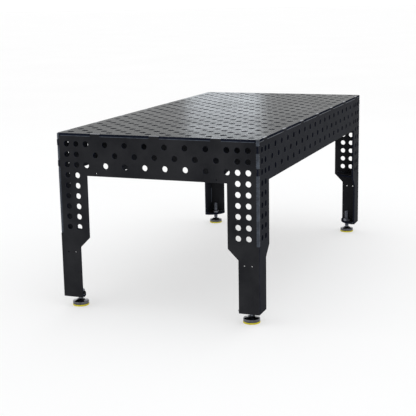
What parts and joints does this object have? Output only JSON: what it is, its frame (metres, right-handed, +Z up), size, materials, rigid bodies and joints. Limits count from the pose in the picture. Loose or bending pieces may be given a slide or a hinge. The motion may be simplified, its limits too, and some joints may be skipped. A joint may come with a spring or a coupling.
{
  "type": "welding table",
  "caption": "Perforated steel welding table with deep side aprons, angle legs and levelling feet on swivelling pads.",
  "frame": {"origin": "on the floor under the table's centre", "axes": "+X across the table's short side, +Y along its long side, +Z up"},
  "size_m": [1, 2, 0.855],
  "materials": {
    "black_nitrided_steel": "nitrided black, satin",
    "zinc_plated_steel": "zinc plated thread",
    "bright_plated_steel": "bright plated, polished",
    "bronze": "turned bronze",
    "yellow_polyurethane": "moulded yellow polyurethane"
  },
  "bodies": {
    "table": {"top_plate": "black_nitrided_steel", "front_side_sheet": "black_nitrided_steel", "rear_side_sheet": "black_nitrided_steel", "left_side_sheet": "black_nitrided_steel", "right_side_sheet": "black_nitrided_steel", "left_length_rib": "black_nitrided_steel", "right_length_rib": "black_nitrided_steel", "cross_rib_1": "black_nitrided_steel", "cross_rib_2": "black_nitrided_steel", "cross_rib_3": "black_nitrided_steel", "cross_rib_4": "black_nitrided_steel", "front_left_stiffener": "black_nitrided_steel", "front_left_base_plate": "black_nitrided_steel", "front_left_spindle_nut": "zinc_plated_steel", "front_right_stiffener": "black_nitrided_steel", "front_right_base_plate": "black_nitrided_steel", "front_right_spindle_nut": "zinc_plated_steel", "rear_left_stiffener": "black_nitrided_steel", "rear_left_base_plate": "black_nitrided_steel", "rear_left_spindle_nut": "zinc_plated_steel", "rear_right_stiffener": "black_nitrided_steel", "rear_right_base_plate": "black_nitrided_steel", "rear_right_spindle_nut": "zinc_plated_steel"},
    "front_left_ball": {"front_left_swivel_ball": "bright_plated_steel"},
    "front_left_spindle": {"front_left_spindle": "zinc_plated_steel"},
    "front_left_cup": {"front_left_ball_cup": "bronze"},
    "front_left_foot": {"front_left_foot_disc": "bright_plated_steel", "front_left_foot_pad": "yellow_polyurethane"},
    "front_right_ball": {"front_right_swivel_ball": "bright_plated_steel"},
    "front_right_spindle": {"front_right_spindle": "zinc_plated_steel"},
    "front_right_cup": {"front_right_ball_cup": "bronze"},
    "front_right_foot": {"front_right_foot_disc": "bright_plated_steel", "front_right_foot_pad": "yellow_polyurethane"},
    "rear_left_ball": {"rear_left_swivel_ball": "bright_plated_steel"},
    "rear_left_spindle": {"rear_left_spindle": "zinc_plated_steel"},
    "rear_left_cup": {"rear_left_ball_cup": "bronze"},
    "rear_left_foot": {"rear_left_foot_disc": "bright_plated_steel", "rear_left_foot_pad": "yellow_polyurethane"},
    "rear_right_ball": {"rear_right_swivel_ball": "bright_plated_steel"},
    "rear_right_spindle": {"rear_right_spindle": "zinc_plated_steel"},
    "rear_right_cup": {"rear_right_ball_cup": "bronze"},
    "rear_right_foot": {"rear_right_foot_disc": "bright_plated_steel", "rear_right_foot_pad": "yellow_polyurethane"}
  },
  "joints": [
    {"name": "front_left_foot_lift", "type": "slide", "parent": "table", "child": "front_left_ball", "axis": [0, 0, 1], "range_m": [-0.045, 0.018]},
    {"name": "front_left_spindle_turn", "type": "hinge", "parent": "front_left_ball", "child": "front_left_spindle", "pos_m": [-0.442, -0.942, 0.021], "axis": [0, 0, 1], "range_deg": [-5400, 2160]},
    {"name": "front_left_foot_tilt_lengthwise", "type": "hinge", "parent": "front_left_ball", "child": "front_left_cup", "pos_m": [-0.442, -0.942, 0.021], "axis": [1, 0, 0], "range_deg": [-8, 8]},
    {"name": "front_left_foot_tilt_sideways", "type": "hinge", "parent": "front_left_cup", "child": "front_left_foot", "pos_m": [-0.442, -0.942, 0.021], "axis": [0, 1, 0], "range_deg": [-8, 8]},
    {"name": "front_right_foot_lift", "type": "slide", "parent": "table", "child": "front_right_ball", "axis": [0, 0, 1], "range_m": [-0.045, 0.018]},
    {"name": "front_right_spindle_turn", "type": "hinge", "parent": "front_right_ball", "child": "front_right_spindle", "pos_m": [0.442, -0.942, 0.021], "axis": [0, 0, 1], "range_deg": [-5400, 2160]},
    {"name": "front_right_foot_tilt_lengthwise", "type": "hinge", "parent": "front_right_ball", "child": "front_right_cup", "pos_m": [0.442, -0.942, 0.021], "axis": [1, 0, 0], "range_deg": [-8, 8]},
    {"name": "front_right_foot_tilt_sideways", "type": "hinge", "parent": "front_right_cup", "child": "front_right_foot", "pos_m": [0.442, -0.942, 0.021], "axis": [0, 1, 0], "range_deg": [-8, 8]},
    {"name": "rear_left_foot_lift", "type": "slide", "parent": "table", "child": "rear_left_ball", "axis": [0, 0, 1], "range_m": [-0.045, 0.018]},
    {"name": "rear_left_spindle_turn", "type": "hinge", "parent": "rear_left_ball", "child": "rear_left_spindle", "pos_m": [-0.442, 0.942, 0.021], "axis": [0, 0, 1], "range_deg": [-5400, 2160]},
    {"name": "rear_left_foot_tilt_lengthwise", "type": "hinge", "parent": "rear_left_ball", "child": "rear_left_cup", "pos_m": [-0.442, 0.942, 0.021], "axis": [1, 0, 0], "range_deg": [-8, 8]},
    {"name": "rear_left_foot_tilt_sideways", "type": "hinge", "parent": "rear_left_cup", "child": "rear_left_foot", "pos_m": [-0.442, 0.942, 0.021], "axis": [0, 1, 0], "range_deg": [-8, 8]},
    {"name": "rear_right_foot_lift", "type": "slide", "parent": "table", "child": "rear_right_ball", "axis": [0, 0, 1], "range_m": [-0.045, 0.018]},
    {"name": "rear_right_spindle_turn", "type": "hinge", "parent": "rear_right_ball", "child": "rear_right_spindle", "pos_m": [0.442, 0.942, 0.021], "axis": [0, 0, 1], "range_deg": [-5400, 2160]},
    {"name": "rear_right_foot_tilt_lengthwise", "type": "hinge", "parent": "rear_right_ball", "child": "rear_right_cup", "pos_m": [0.442, 0.942, 0.021], "axis": [1, 0, 0], "range_deg": [-8, 8]},
    {"name": "rear_right_foot_tilt_sideways", "type": "hinge", "parent": "rear_right_cup", "child": "rear_right_foot", "pos_m": [0.442, 0.942, 0.021], "axis": [0, 1, 0], "range_deg": [-8, 8]}
  ],
  "couplings": [
    {"joint": "front_left_spindle_turn", "follows": "front_left_foot_lift", "rad_per_m": 2094.4},
    {"joint": "front_right_spindle_turn", "follows": "front_right_foot_lift", "rad_per_m": 2094.4},
    {"joint": "rear_left_spindle_turn", "follows": "rear_left_foot_lift", "rad_per_m": 2094.4},
    {"joint": "rear_right_spindle_turn", "follows": "rear_right_foot_lift", "rad_per_m": 2094.4}
  ]
}
